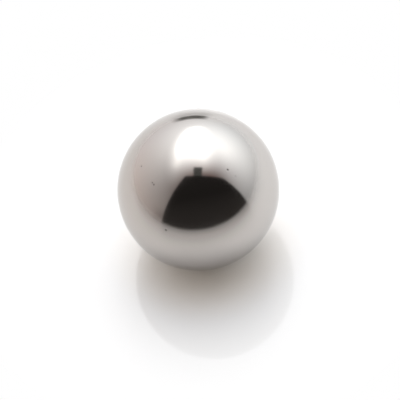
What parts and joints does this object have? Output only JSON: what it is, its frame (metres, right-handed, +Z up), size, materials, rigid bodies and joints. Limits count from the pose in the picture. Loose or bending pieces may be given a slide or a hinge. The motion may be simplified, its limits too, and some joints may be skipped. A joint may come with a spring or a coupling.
{
  "type": "steel ball",
  "caption": "Solid polished steel sphere, mirror bright all over; a loose rolling element that runs in a race, cup, groove or detent.",
  "frame": {"origin": "centre of the ball", "axes": "+Z up, away from the surface that the ball touches; +X to the right and -Y towards the viewer, both free because the ball is the same from every side"},
  "size_m": [0.006, 0.006, 0.006],
  "materials": {
    "polished_steel": "polished"
  },
  "bodies": {
    "root": {"ball": "polished_steel"}
  },
  "joints": []
}
